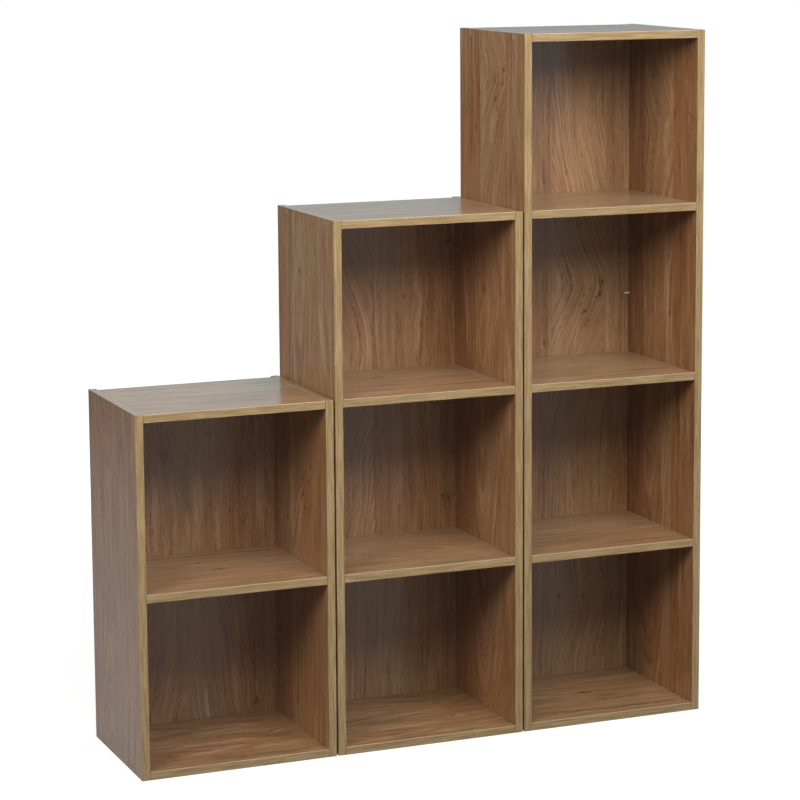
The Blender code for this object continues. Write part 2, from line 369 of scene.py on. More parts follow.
class Wiring:
    """Adds and joins the nodes of one material or one group."""

    def __init__(self, tree):
        self.tree = tree
        self.count = 0

    def put(self, socket, value):
        """Sets a socket, or links it where the value is itself a socket."""
        if isinstance(value, bpy.types.NodeSocket):
            self.tree.links.new(value, socket)
        else:
            socket.default_value = value

    def add(self, kind, values=(), **settings):
        """A new node, set beside the last one, with its settings and its inputs' values."""
        node = self.tree.nodes.new(kind)
        node.location = (self.count % 12 * 190.0, self.count // 12 * -280.0)
        self.count += 1
        for key, value in settings.items():
            setattr(node, key, value)
        for key, value in dict(values).items():
            self.put(node.inputs[key], value)
        return node

    def calc(self, operation, *values, clamp=False):
        node = self.add("ShaderNodeMath", enumerate(values), operation=operation, use_clamp=clamp)
        return node.outputs[0]

    def plus(self, first=0.0, *others):
        for other in others:
            first = self.calc("ADD", first, other)
        return first

    def times(self, first, *others):
        for other in others:
            first = self.calc("MULTIPLY", first, other)
        return first

    def less(self, value, taken):
        return self.calc("SUBTRACT", value, taken)

    def over(self, value, divisor):
        return self.calc("DIVIDE", value, divisor)

    def above(self, value, level):
        return self.calc("GREATER_THAN", value, level)

    def below(self, value, level):
        return self.calc("LESS_THAN", value, level)

    def swing(self, noise, amount):
        """Turns a noise round 0.5 into a push to both sides of 0."""
        return self.times(self.less(noise, 0.5), amount)

    def bell(self, off, steepness):
        """1 in the middle, and falling off to both sides."""
        return self.calc("EXPONENT", self.times(off, off, -steepness))

    def vector(self, x, y, z):
        return self.add("ShaderNodeCombineXYZ", enumerate((x, y, z))).outputs[0]

    def place(self):
        return self.add("ShaderNodeTexCoord").outputs["Object"]

    def noise(self, place, scale=1.0, detail=2.0, roughness=0.5):
        values = {"Vector": place, "Scale": scale, "Detail": detail, "Roughness": roughness}
        return self.add("ShaderNodeTexNoise", values, noise_dimensions="3D").outputs["Fac"]

    def grain(self, first, first_scale, second, second_scale, third, detail, roughness=0.5):
        """A noise that is drawn out along the direction with the smaller scale."""
        first, second = self.times(first, first_scale), self.times(second, second_scale)
        return self.noise(self.vector(first, second, third), 1.0, detail, roughness)

    def length(self, place):
        return self.add("ShaderNodeVectorMath", {0: place}, operation="LENGTH").outputs["Value"]

    def split(self, place):
        return self.add("ShaderNodeSeparateXYZ", {0: place}).outputs

    def spread(self, value, low, high, to_low=0.0, to_high=1.0, smooth=True):
        """Maps a value from one range to another and holds it there."""
        kind = "SMOOTHSTEP" if smooth else "LINEAR"
        values = enumerate((value, low, high, to_low, to_high))
        return self.add("ShaderNodeMapRange", values, interpolation_type=kind).outputs[0]

    def mix(self, share, first, second):
        node = self.add("ShaderNodeMix", {0: share, 6: first, 7: second}, data_type="RGBA")
        return node.outputs[2]

    def mix_value(self, share, first, second):
        node = self.add("ShaderNodeMix", {0: share, 2: first, 3: second}, data_type="FLOAT")
        return node.outputs[0]

    def group(self, name, values):
        """The outputs of one of the shared groups, placed with these values."""
        return self.add("ShaderNodeGroup", values, node_tree=shared(name)).outputs


COLOUR_SOCKETS = ("Colour", "Ground", "Dark", "Pale")


def new_group(name, inputs, *outputs):
    """An empty shader group with named sockets: the group, its wiring, its start and its end."""
    tree = bpy.data.node_groups.new(name, "ShaderNodeTree")
    for label in (*inputs, *outputs):
        direction = "INPUT" if label in inputs else "OUTPUT"
        kind = "NodeSocketColor" if label in COLOUR_SOCKETS else "NodeSocketFloat"
        socket = tree.interface.new_socket(label, in_out=direction, socket_type=kind)
        if label in inputs:
            socket.default_value = inputs[label]
    wiring = Wiring(tree)
    start = wiring.add("NodeGroupInput").outputs
    end = wiring.add("NodeGroupOutput").inputs
    return tree, wiring, start, end


def make_knot_group():
    """A small knot: its spot, the ring round it, and how far it pulls the lines beside it."""
    inputs = {
        "Along": 0.0, "Across": 0.0, "Depth": 0.0,
        "Knot along": 0.0, "Knot across": 0.0, "Knot depth": 0.0, "Radius": 0.002, "Ragged": 0.5,
    }
    tree, w, start, end = new_group("Knot", inputs, "Spot", "Ring", "Pull")
    along = w.times(w.less(start["Along"], start["Knot along"]), 0.90)
    across = w.less(start["Across"], start["Knot across"])
    depth = w.times(w.less(start["Depth"], start["Knot depth"]), 6.0)
    reach = w.over(w.length(w.vector(along, across, depth)), start["Radius"])
    reach = w.plus(reach, w.swing(start["Ragged"], 1.4))
    w.put(end["Spot"], w.spread(reach, 1.35, 0.55))
    rim = w.calc("ABSOLUTE", w.less(reach, 2.0))
    w.put(end["Ring"], w.spread(rim, 1.1, 0.0))
    fade = w.bell(w.over(reach, 4.5), 1.0)
    w.put(end["Pull"], w.times(across, fade, -0.75))
    return tree


def make_mark_group():
    """A soft streak between two points that lie roughly along the grain."""
    inputs = {
        "Along": 0.0, "Across": 0.0, "From along": 0.0, "From across": 0.0,
        "To along": 0.1, "To across": 0.0, "Width": 0.005, "Wander": 0.5,
    }
    tree, w, start, end = new_group("Streak mark", inputs, "Mark")
    run = w.less(start["To along"], start["From along"])
    share = w.over(w.less(start["Along"], start["From along"]), run)
    wander = w.swing(start["Wander"], 0.018)
    slant = w.less(start["To across"], start["From across"])
    middle = w.calc("MULTIPLY_ADD", slant, share, start["From across"])
    off = w.less(w.less(start["Across"], middle), wander)
    body = w.bell(w.over(off, start["Width"]), 1.6)
    ends = w.times(w.spread(share, -0.08, 0.22), w.spread(share, 1.08, 0.78))
    w.put(end["Mark"], w.times(body, ends))
    return tree


def make_print_group():
    """The printed oak: planks side by side, rings that close in arches, fibres and pores."""
    inputs = {
        "Along": 0.0, "Across": 0.0, "Depth": 0.0, "Push": 0.0,
        "Tone": 0.5, "Heart": 0.0, "Heart depth": 0.02, "Share": 0.0,
        "Heart height": 0.3, "Bend": 0.0, "Marks": 0.0, "Knots": 0.0, "Knot rings": 0.0,
        "Seed": 0.0, "Ring spacing": 0.006, "Line depth": 0.3, "Fibre depth": 0.3,
        "Ground": (0.25, 0.12, 0.06, 1.0), "Dark": (0.1, 0.04, 0.02, 1.0),
        "Pale": (0.4, 0.24, 0.13, 1.0),
    }
    tree, w, start, end = new_group("Printed oak", inputs, "Colour", "Relief", "Sheen")
    along, across = start["Along"], start["Across"]
    seed = w.calc("MULTIPLY_ADD", start["Tone"], 37.0, start["Seed"])
    deep_seed = w.calc("MULTIPLY_ADD", start["Depth"], 60.0, seed)

    # The grain sways slowly along the board, with small quick ripples
    slow = w.grain(along, 3.4, across, 9.0, deep_seed, 1.0)
    quick = w.grain(along, 17.0, across, 55.0, deep_seed, 1.5)
    drawn = w.plus(across, start["Push"], w.swing(slow, 0.030), w.swing(quick, 0.0070))

    # Growth rings round the heart line, as the face cuts them: each is dark in its late wood
    side = w.less(drawn, start["Heart"])
    squares = w.plus(w.times(side, side), w.calc("POWER", start["Heart depth"], 2.0))
    rise = w.less(along, start["Heart height"])
    lift = w.times(w.times(rise, rise), w.times(start["Bend"], start["Share"]))
    reach = w.plus(w.calc("SQRT", squares), lift)
    rings = w.over(reach, start["Ring spacing"])
    uneven = w.noise(w.vector(rings, seed, 0.0), 0.45, 1.0)
    rings = w.calc("MULTIPLY_ADD", uneven, 2.6, rings)
    step = w.calc("FRACT", rings)
    late = w.times(w.spread(step, 0.46, 0.86), w.spread(step, 1.0, 0.92))
    weight = w.noise(w.vector(w.calc("FLOOR", rings), seed, 3.0), 7.31, 0.0)
    broken = w.spread(quick, 0.30, 0.60, 0.35, 1.0)
    lines = w.times(late, w.times(w.spread(weight, 0.34, 0.62, 0.10, 1.0), broken))

    # Fibres, broad streaks, clouds and pores follow the rings, and are calmer at the heart line
    flow = w.calc("MULTIPLY_ADD", drawn, 0.25, reach)
    fine = w.grain(flow, 560.0, along, 30.0, seed, 2.0, 0.6)
    broad = w.grain(flow, 170.0, along, 7.0, seed, 2.0, 0.5)
    cloud = w.grain(drawn, 36.0, along, 6.0, deep_seed, 2.0)
    pore = w.grain(flow, 820.0, along, 85.0, seed, 1.0)
    emboss = w.grain(across, 900.0, along, 45.0, 0.0, 1.0)
    calm = w.spread(w.calc("ABSOLUTE", side), 0.002, 0.018, 0.15, 1.0)
    calm = w.times(calm, w.spread(start["Share"], 0.0, 1.0, 0.62, 1.0, smooth=False))
    lines = w.times(lines, w.spread(pore, 0.40, 0.58, 0.40, 1.15), calm)
    pores = w.times(w.spread(pore, 0.54, 0.64), w.spread(step, 0.10, 0.80, 0.35, 1.0), calm)

    # Together they make the tone: 0 is the dark colour, 0.5 the ground and 1 the pale one
    fibres = w.swing(fine, w.times(start["Fibre depth"], 1.6))
    streaks = w.swing(broad, w.times(start["Fibre depth"], 2.1))
    streaks = w.calc("MULTIPLY_ADD", w.spread(broad, 0.56, 0.74), 0.09, streaks)
    knot_rings = w.times(start["Knot rings"], 0.12)
    darkening = w.plus(w.times(lines, start["Line depth"]), w.times(pores, 0.20), knot_rings)
    marks = w.times(start["Marks"], 0.30)
    tone = w.plus(start["Tone"], fibres, streaks, w.swing(cloud, 0.26), marks)
    tone = w.less(w.plus(tone, 0.085), darkening)
    tone = w.calc("SUBTRACT", tone, w.times(start["Knots"], 0.62), clamp=True)

    upper = w.mix(w.spread(tone, 0.5, 1.0, smooth=False), start["Ground"], start["Pale"])
    shade = w.mix(w.spread(tone, 0.0, 0.5, smooth=False), start["Dark"], upper)
    hue = w.plus(slow, w.swing(start["Tone"], 1.6))
    tinted = w.add("ShaderNodeHueSaturation", {
        "Hue": w.spread(hue, 0.25, 0.75, 0.494, 0.505),
        "Saturation": w.spread(hue, 0.25, 0.75, 1.04, 0.95),
        "Color": shade,
    }).outputs[0]
    w.put(end["Colour"], tinted)
    w.put(end["Relief"], emboss)
    w.put(end["Sheen"], w.plus(w.times(cloud, 0.05), w.times(pores, 0.08)))
    return tree


def make_band_group():
    """The pale band: fine straight streaks along the edge."""
    inputs = {
        "Along": 0.0, "Across": 0.0, "Seed": 0.0,
        "Ground": (0.4, 0.3, 0.15, 1.0), "Dark": (0.3, 0.2, 0.1, 1.0),
    }
    tree, w, start, end = new_group("Edge band", inputs, "Colour", "Relief")
    along, seed = start["Along"], start["Seed"]
    bow = w.noise(w.vector(w.times(along, 9.0), seed, 0.0), 1.0, 1.0)
    across = w.calc("MULTIPLY_ADD", w.less(bow, 0.5), 0.006, start["Across"])
    fine = w.grain(across, 1100.0, along, 30.0, seed, 2.0)
    broad = w.grain(across, 300.0, along, 12.0, seed, 2.0)
    fleck = w.grain(across, 900.0, along, 180.0, seed, 0.0)
    streak = w.plus(w.times(fine, 0.75), w.times(broad, 0.55))
    share = w.spread(streak, 0.83, 0.47)
    share = w.calc("MULTIPLY_ADD", w.spread(fleck, 0.70, 0.80), 0.7, share)
    w.put(end["Colour"], w.mix(share, start["Ground"], start["Dark"]))
    w.put(end["Relief"], fine)
    return tree


def make_raw_group():
    """The raw core: pressed wood chips in a mid tan, or finer fibres where the chips are small."""
    inputs = {
        "Chip size": 0.002, "Pale": (0.5, 0.36, 0.2, 1.0), "Dark": (0.25, 0.15, 0.07, 1.0),
    }
    tree, w, start, end = new_group("Raw core", inputs, "Colour", "Relief")
    place = w.place()
    scale = w.over(1.0, start["Chip size"])
    chips = w.add("ShaderNodeTexVoronoi", {"Vector": place, "Scale": scale}).outputs
    shade = w.add("ShaderNodeSeparateColor", {0: chips["Color"]}).outputs[0]
    grit = w.noise(place, w.times(scale, 2.2), 3.0, 0.6)
    patch = w.noise(place, 45.0, 1.0)
    share = w.plus(w.times(shade, 0.45), w.times(grit, 0.55), w.times(patch, 0.25))
    w.put(end["Colour"], w.mix(w.spread(share, 0.35, 0.95), start["Pale"], start["Dark"]))
    w.put(end["Relief"], w.less(grit, chips["Distance"]))
    return tree


def make_fastener_group():
    """Where a screw or its cap is, by how far in it lies from the outer face of its side."""
    tree, w, start, end = new_group("Fastener zones", {"Across set": 0.0}, "Cap", "Screw")
    # The margin keeps an outer face from falling on the seam between two steps
    margin = 0.5 * MM
    local = w.less(start["Across set"], TOWER_LEFT["low"] - margin)
    local = w.less(w.calc("MODULO", local, TOWER_STEP), margin)
    middle = TOWER_WIDTH / 2
    inwards = w.less(middle, w.calc("ABSOLUTE", w.less(local, middle)))
    w.put(end["Cap"], w.below(inwards, CAP_DEPTH))
    w.put(end["Screw"], w.below(inwards, SIDE_THICKNESS + SKIN))
    return tree


GROUP_MAKERS = {
    "Knot": make_knot_group,
    "Streak mark": make_mark_group,
    "Printed oak": make_print_group,
    "Edge band": make_band_group,
    "Raw core": make_raw_group,
    "Fastener zones": make_fastener_group,
}


def shared(name):
    """A shader group by its name, made when it is first asked for."""
    return bpy.data.node_groups.get(name) or GROUP_MAKERS[name]()


def fresh_wiring(owner):
    """Clears the nodes of a material or a world, and gives their wiring."""
    owner.use_nodes = True
    owner.node_tree.nodes.clear()
    return Wiring(owner.node_tree)


def new_material(name):
    """An empty node material, its wiring and its surface shader's inputs."""
    material = bpy.data.materials.new(name)
    wiring = fresh_wiring(material)
    shader = wiring.add("ShaderNodeBsdfPrincipled")
    wiring.add("ShaderNodeOutputMaterial", {"Surface": shader.outputs[0]})
    return material, wiring, shader.inputs


# The heart lines' places and depths go through the ramp as shares of these lengths
HEART_RANGE = 2.0
HEART_DEPTH_RANGE = 0.1


def plank_ramp(w, place, figure, width):
    """Steps from plank to plank. Its channels are tone, heart line, heart depth and share."""
    ramp = w.add("ShaderNodeValToRGB", {0: w.over(place, width * MM)})
    ramp.color_ramp.interpolation = "CONSTANT"
    elements = ramp.color_ramp.elements
    while len(elements) < len(figure["planks"]):
        elements.new(1.0)
    for element, plank in zip(elements, figure["planks"]):
        start, tone, heart, depth, share = plank
        element.position = min(max(start / width, 0.0), 1.0)
        heart, depth = heart * MM / HEART_RANGE, depth * MM / HEART_DEPTH_RANGE
        element.color = (tone, heart + 0.5, depth, share)
    return ramp.outputs[0], ramp.outputs[1]


class Board:
    """A board's own coordinates: along and across the grain, and through its thickness."""

    def __init__(self, w, along, across, depth, width):
        self.w = w
        self.along = along
        self.across = across
        self.depth = depth
        self.width = width / MM

    def nose(self, figure, share):
        """How far the figure's noses push the lines sideways."""
        w = self.w
        pushes = []
        for at, reach, push in figure["noses"]:
            off = w.over(w.less(self.along, at * MM), reach * MM)
            pushes.append(w.times(w.bell(off, 1.0), -push * MM))
        return w.times(w.plus(*pushes), share) if pushes else 0.0

    def knots(self, figure, level, ragged):
        """The figure's knots, on the face that lies at this level of the thickness."""
        return [
            self.w.group("Knot", {
                "Along": self.along, "Across": self.across, "Depth": self.depth,
                "Knot along": along * MM, "Knot across": across * MM, "Knot depth": level,
                "Radius": size * MM / 1.8, "Ragged": ragged,
            })
            for along, across, size in figure["knots"]
        ]

    def marks(self, figure, wander):
        """The figure's streaks, all in one."""
        made = []
        for from_along, from_across, to_along, to_across, width, strength in figure["marks"]:
            streak = self.w.group("Streak mark", {
                "Along": self.along, "Across": self.across,
                "From along": from_along * MM, "From across": from_across * MM,
                "To along": to_along * MM, "To across": to_across * MM,
                "Width": width * MM, "Wander": wander,
            })[0]
            made.append(self.w.times(streak, strength))
        return self.w.plus(*made)


# How much weaker the figure's lines and how much stronger its fibres are where the print is soft
SOFT_LINES = 0.62
SOFT_FIBRES = 1.25


def add_print(board, faces, pick, seed, ground, soft):
    """Prints one or two faces, each a figure and its level. pick is 1 on the second face."""
    settings = bpy.context.scene.bookcase_print
    w, along, across = board.w, board.along, board.across
    ragged = w.noise(w.vector(along, across, seed), 420.0, 2.0)
    wander = w.noise(w.vector(along, seed, 0.0), 26.0, 2.0)
    knots, marks, planks, shapes = [], [], [], []
    for number, (figure, level) in enumerate(faces):
        knots += board.knots(figure, level, ragged)
        streaks = board.marks(figure, wander)
        if len(faces) > 1:
            streaks = w.times(streaks, pick if number else w.less(1.0, pick))
        marks.append(streaks)
        plank, share = plank_ramp(w, across, figure, board.width)
        planks.append(plank)
        shapes.append((share, board.nose(figure, share), figure["heart"] * MM, figure["bend"]))
    plank, shape, face_seed = planks[0], shapes[0], seed
    if len(faces) > 1:
        plank = w.mix(pick, *planks)
        shape = [w.mix_value(pick, *pair) for pair in zip(*shapes)]
        face_seed = w.calc("MULTIPLY_ADD", pick, 19.0, seed)
    share, nose, heart, bend = shape
    spots, rings, pulls = (
        w.plus(*(knot[part] for knot in knots)) for part in ("Spot", "Ring", "Pull")
    )
    parts = w.add("ShaderNodeSeparateColor", {0: plank}).outputs
    return w.group("Printed oak", {
        "Along": along, "Across": across, "Depth": board.depth, "Seed": face_seed,
        "Push": w.plus(pulls, nose), "Tone": parts[0], "Share": share,
        "Heart": w.swing(parts[1], HEART_RANGE), "Heart height": heart,
        "Heart depth": w.times(parts[2], HEART_DEPTH_RANGE), "Bend": bend,
        "Marks": w.plus(*marks),
        "Knots": w.calc("MINIMUM", spots, 1.0), "Knot rings": w.calc("MINIMUM", rings, 1.0),
        "Ring spacing": settings.ring_spacing,
        "Line depth": settings.line_depth * (SOFT_LINES if soft else 1.0),
        "Fibre depth": settings.fibre_depth * (SOFT_FIBRES if soft else 1.0),
        "Ground": (*ground, 1.0), "Dark": (*settings.dark, 1.0), "Pale": (*settings.pale, 1.0),
    })


def layer(w, share, under, over):
    """Lays one finish over another where share is 1: colour, roughness, relief and gloss."""
    values = [w.mix_value(share, *pair) for pair in zip(under[1:], over[1:])]
    return (w.mix(share, under[0], over[0]), *values)


def band_finish(w, along, across, seed):
    """The pale band's colour, roughness, relief and gloss."""
    settings = bpy.context.scene.bookcase_band
    band = w.group("Edge band", {
        "Along": along, "Across": across, "Seed": seed,
        "Ground": (*settings.ground, 1.0), "Dark": (*settings.dark, 1.0),
    })
    return band["Colour"], settings.roughness, band["Relief"], 0.0


# Chip size, pale colour and dark colour of the raw cores
CHIPBOARD = (0.0022, (0.50, 0.355, 0.205, 1.0), (0.27, 0.165, 0.085, 1.0))
FIBREBOARD = (0.0011, (0.36, 0.235, 0.130, 1.0), (0.29, 0.180, 0.096, 1.0))

# Colours of thin lines and small zones, painted shadows and highlights among them
UPPER_EDGE = (0.30, 0.19, 0.098, 1.0)
UPPER_EDGE_HIGHLIGHT = (0.46, 0.35, 0.21, 1.0)
FOOT_SHADOW_COLOUR = (0.075, 0.036, 0.018, 1.0)
BAND_ARRIS_HIGHLIGHT = (0.50, 0.37, 0.26, 1.0)
CAP_SEAM_SHADOW = (0.06, 0.03, 0.015, 1.0)
ZINC = (0.84, 0.84, 0.87, 1.0)
ZINC_BLOOM = (0.70, 0.70, 0.73, 1.0)
WHITE = (1.0, 1.0, 1.0, 1.0)

RAW_ROUGHNESS = 0.85
COAT_ROUGHNESS = 0.20
STEEL_ROUGHNESS = (0.18, 0.40)

# Painted light: how much of each of its colours a level board's print has at the floor, and how
# much more with each metre of height, which draws the higher boards paler as if better lit
LEVEL_LIGHT_BY_HEIGHT = ((0.92, 0.23), (0.93, 0.38), (0.93, 0.62))


def raw_finish(w, chip_size, pale, dark):
    """The raw core's colour, roughness, relief and gloss."""
    raw = w.group("Raw core", {"Chip size": chip_size, "Pale": pale, "Dark": dark})
    return raw["Colour"], RAW_ROUGHNESS, raw["Relief"], 0.0


def print_finish(board, faces, pick, seed, ground, soft=True):
    """The printed oak's colour, roughness, relief and gloss."""
    settings = bpy.context.scene.bookcase_print
    printed = add_print(board, faces, pick, seed, ground, soft)
    roughness = board.w.plus(printed["Sheen"], settings.roughness)
    return printed["Colour"], roughness, printed["Relief"], settings.gloss


def add_bump(w, shader, strength, distance, height):
    values = {"Strength": strength, "Distance": distance, "Height": height}
    w.put(shader["Normal"], w.add("ShaderNodeBump", values).outputs[0])


def finish_material(w, shader, finish):
    """Puts a board's finish on its shader."""
    colour_out, roughness, relief, gloss = finish
    w.put(shader["Base Color"], colour_out)
    w.put(shader["Roughness"], roughness)
    w.put(shader["Coat Weight"], gloss)
    shader["Coat Roughness"].default_value = COAT_ROUGHNESS
    add_bump(w, shader, 0.08, 0.1 * MM, relief)


def seed_of(first, step, tower):
    """A seed that keeps the prints of like boards in different bookcases apart."""
    return first + step * TOWERS.index(tower)


def side_material(tower, hand):
    """Printed oak on both faces of a side, a band in front and a raw edge behind."""
    left = hand == "left"
    low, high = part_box(f"{tower}_{hand}_side")
    material, w, shader = new_material(f"Oak side, {tower} {hand}")
    x, y, z = w.split(w.place())
    seed = seed_of(0.0 if left else 41.0, 5.3, tower)
    height, width = (high.z - low.z) / MM, DEPTH / MM
    outer = OUTER_FIGURES[tower] if left else free_figure(seed, width, height)
    inner = free_figure(seed + 1, width, height) if left else INNER_FIGURES[tower]
    outer_level, inner_level = (low.x, high.x) if left else (high.x, low.x)
    middle = (low.x + high.x) / 2
    pick = w.above(x, middle) if left else w.below(x, middle)
    board = Board(w, z, w.less(REAR, y), x, DEPTH)
    faces = ((outer, outer_level), (inner, inner_level))
    finish = print_finish(board, faces, pick, seed, bpy.context.scene.bookcase_print.ground)
    upper_edge = w.times(w.above(z, high.z - SKIN), 0.8)
    # Painted highlight: a pale line along the inner arris of the top end, where the light catches
    # it; the rest of the top end keeps its own brown
    from_inside = w.calc("ABSOLUTE", w.less(x, inner_level))
    top_end_and_highlight = w.mix(w.below(from_inside, EDGE_LINE), UPPER_EDGE, UPPER_EDGE_HIGHLIGHT)
    printed = w.mix(upper_edge, finish[0], top_end_and_highlight)
    # Painted contact shadow: a dark line along the foot of the side, where it stands on the floor
    finish = (w.mix(w.spread(z, *FOOT_SHADOW_FADE), printed, FOOT_SHADOW_COLOUR), *finish[1:])
    raw_zone = w.calc("MAXIMUM", w.above(y, REAR - SKIN), w.below(z, SKIN))
    finish = layer(w, raw_zone, finish, raw_finish(w, *CHIPBOARD))
    band_zone = w.below(y, FRONT + bpy.context.scene.bookcase_band.thickness)
    finish = layer(w, band_zone, finish, band_finish(w, z, x, seed))
    finish_material(w, shader, finish)
    return material


def level_material(name, tower):
    """Printed oak on a bottom, shelf or top, a band in front, and its fasteners' own finish."""
    low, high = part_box(name)
    material, w, shader = new_material("Oak board, " + name.replace("_", " "))
    x, y, z = w.split(w.place())
    level = (low.z + high.z) / 2
    seed = seed_of(7.1 * round(level / LEVEL_STEP), 2.3, tower)
    figure = LEVEL_FIGURES.get(name) or free_figure(seed, DEPTH / MM, INNER_WIDTH / MM)
    ground = bpy.context.scene.bookcase_print.level_ground
    # Painted light: bottoms and shelves are drawn paler the higher they stand
    if not name.endswith("_top"):
        pairs = zip(ground, LEVEL_LIGHT_BY_HEIGHT)
        ground = [part * (first + more * level) for part, (first, more) in pairs]
    along = w.less(x, TOWER_LEFT[tower] + SIDE_THICKNESS)
    board = Board(w, along, w.less(REAR, y), z, DEPTH)
    finish = print_finish(board, ((figure, high.z),), None, seed, ground)
    raw_zone = w.above(y, high.y - 2 * SKIN)
    finish = layer(w, raw_zone, finish, raw_finish(w, *CHIPBOARD))
    band_zone = w.below(y, FRONT + bpy.context.scene.bookcase_band.thickness)
    band = band_finish(w, x, z, seed)
    # Painted highlight: the band's upper arris drawn as a pale line, where the light catches it
    arris_highlight = w.spread(w.less(high.z, z), *ARRIS_HIGHLIGHT_FADE)
    band = (w.mix(arris_highlight, band[0], BAND_ARRIS_HIGHLIGHT), *band[1:])
    finish = layer(w, band_zone, finish, band)
    if "_shelf_" in name:
        zones = w.group("Fastener zones", {"Across set": x})
        finish = layer(w, zones["Screw"], finish, (steel_colour(w), 0.35, 0.5, 0.0))
        w.put(shader["Metallic"], w.times(zones["Screw"], w.less(1.0, zones["Cap"])))
    finish_material(w, shader, finish)
    return material


def back_material(tower):
    """Printed oak on the front of a back, and plain fibreboard behind and on its edges."""
    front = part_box(f"{tower}_back")[0].y
    material, w, shader = new_material(f"Oak back, {tower}")
    x, y, z = w.split(w.place())
    across = w.less(x, TOWER_LEFT[tower] + SIDE_THICKNESS)
    board = Board(w, z, across, y, INNER_WIDTH)
    faces = ((BACK_FIGURES[tower], front),)
    seed = seed_of(61.0, 3.9, tower)
    ground = bpy.context.scene.bookcase_print.ground
    finish = print_finish(board, faces, None, seed, ground, soft=False)
    behind = w.above(y, front + 0.3 * MM)
    finish = layer(w, behind, finish, raw_finish(w, *FIBREBOARD))
    finish_material(w, shader, finish)
    return material


def steel_colour(w):
    """Bright zinc with a faint grey bloom."""
    bloom = w.noise(w.place(), 900.0, 3.0)
    return w.mix(w.spread(bloom, 0.35, 0.70), ZINC, ZINC_BLOOM)


def steel_material(name, metallic=None):
    """Drawn steel, as metallic as given, or metal all but where a cap is."""
    material, w, shader = new_material(name)
    x, y, z = w.split(w.place())
    w.put(shader["Base Color"], steel_colour(w))
    if metallic is None:
        metallic = w.less(1.0, w.group("Fastener zones", {"Across set": x})["Cap"])
    w.put(shader["Metallic"], metallic)
    drawn = w.grain(x, 60.0, y, 2500.0, z, 2.0)
    w.put(shader["Roughness"], w.spread(drawn, 0.3, 0.7, *STEEL_ROUGHNESS))
    add_bump(w, shader, 0.2, 0.05 * MM, drawn)
    return material


def cap_material(name, ground, gloss, seam):
    """Moulded plastic: a faint mottle, a fine satin grain and a dark seam round the rim, partly
    painted shadow.
    """
    material, w, shader = new_material(name)
    shader["Coat Weight"].default_value = gloss
    shader["Coat Roughness"].default_value = COAT_ROUGHNESS
    place = w.place()
    mottle = w.noise(place, 260.0, 3.0)
    darker = (*(0.82 * part for part in ground), 1.0)
    colour_out = w.mix(w.spread(mottle, 0.35, 0.7), (*ground, 1.0), darker)
    _, y, z = w.split(place)
    settings = bpy.context.scene.bookcase_caps
    edge = 0.475 * settings.diameter
    inner = edge - 0.04 * settings.diameter
    # Partly painted shadow: the seam round the rim is drawn dark, with the shade that falls in the
    # gap round the cap
    rim = w.spread(w.length(w.vector(0.0, y, z)), inner, edge, 0.0, seam)
    w.put(shader["Base Color"], w.mix(rim, colour_out, CAP_SEAM_SHADOW))
    grain = w.noise(place, 5200.0, 2.0)
    roughness = settings.roughness
    w.put(shader["Roughness"], w.spread(grain, 0.3, 0.7, roughness - 0.06, roughness + 0.08))
    add_bump(w, shader, 0.15, 0.05 * MM, grain)
    return material


# Pieces

def new_object(name, data):
    """Adds an object with this mesh, lamp or camera to the scene."""
    made = bpy.data.objects.new(name, data)
    bpy.context.scene.collection.objects.link(made)
    return made


def new_mesh(name, shape):
    """Turns a finished shape into a mesh."""
    mesh = bpy.data.meshes.new(name)
    shape.to_mesh(mesh)
    shape.free()
    return mesh


def dress(node, material):
    """Gives a packed node its material."""
    piece = NODES[node]
    if not piece.data.materials:
        piece.data.materials.append(None)
    for slot in piece.material_slots:
        slot.link = "OBJECT"
        slot.material = material


def soften(node):
    """Rounds a board's sharp arrises a little."""
    piece = NODES[node]
    weld = piece.modifiers.new("Weld", "WELD")
    weld.merge_threshold = 0.01 * MM
    arris = piece.modifiers.new("Arris", "BEVEL")
    arris.width = bpy.context.scene.bookcase_band.arris
    arris.segments = 2
    arris.limit_method = "ANGLE"
    arris.angle_limit = math.radians(60.0)


def level_boards(tower):
    """Names of a bookcase's level boards, from the floor up."""
    return sorted(
        (name for name in NODES if name.startswith(f"{tower}_") and is_level(name)),
        key=lambda name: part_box(name)[0].z,
    )


def is_level(name):
    """Whether a node is a bottom, a shelf or a top, and not one of its screws."""
    words = ("_bottom", "_shelf_", "_top")
    return not name.endswith("screw") and any(word in name for word in words)


def cap_mesh(name, diameter, thickness):
    """A thin round disc with a soft rim, lying in the YZ plane and facing -X."""
    # From the rear rim to the middle of the face: how far in, and how far from the middle
    outline = [
        (thickness, 0.96 * diameter / 2), (0.45 * thickness, 1.0 * diameter / 2),
        (0.12 * thickness, 0.97 * diameter / 2), (0.0, 0.88 * diameter / 2),
        (0.06 * thickness, 0.45 * diameter / 2), (0.08 * thickness, 0.0),
    ]
    shape = bmesh.new()
    corners = [shape.verts.new((x, 0.0, radius)) for x, radius in outline]
    edges = [shape.edges.new(pair) for pair in zip(corners, corners[1:])]
    bmesh.ops.spin(
        shape, geom=corners + edges, axis=(1.0, 0.0, 0.0), cent=(0.0, 0.0, 0.0),
        angle=math.tau, steps=28, use_merge=True,
    )
    bmesh.ops.remove_doubles(shape, verts=shape.verts, dist=1e-7)
    rim = [edge for edge in shape.edges if edge.is_boundary]
    bmesh.ops.contextual_create(shape, geom=rim)
    bmesh.ops.recalc_face_normals(shape, faces=shape.faces)
    mesh = new_mesh(name, shape)
    mesh.shade_smooth()
    mesh.set_sharp_from_angle(angle=math.radians(50.0))
    return mesh


# Operators

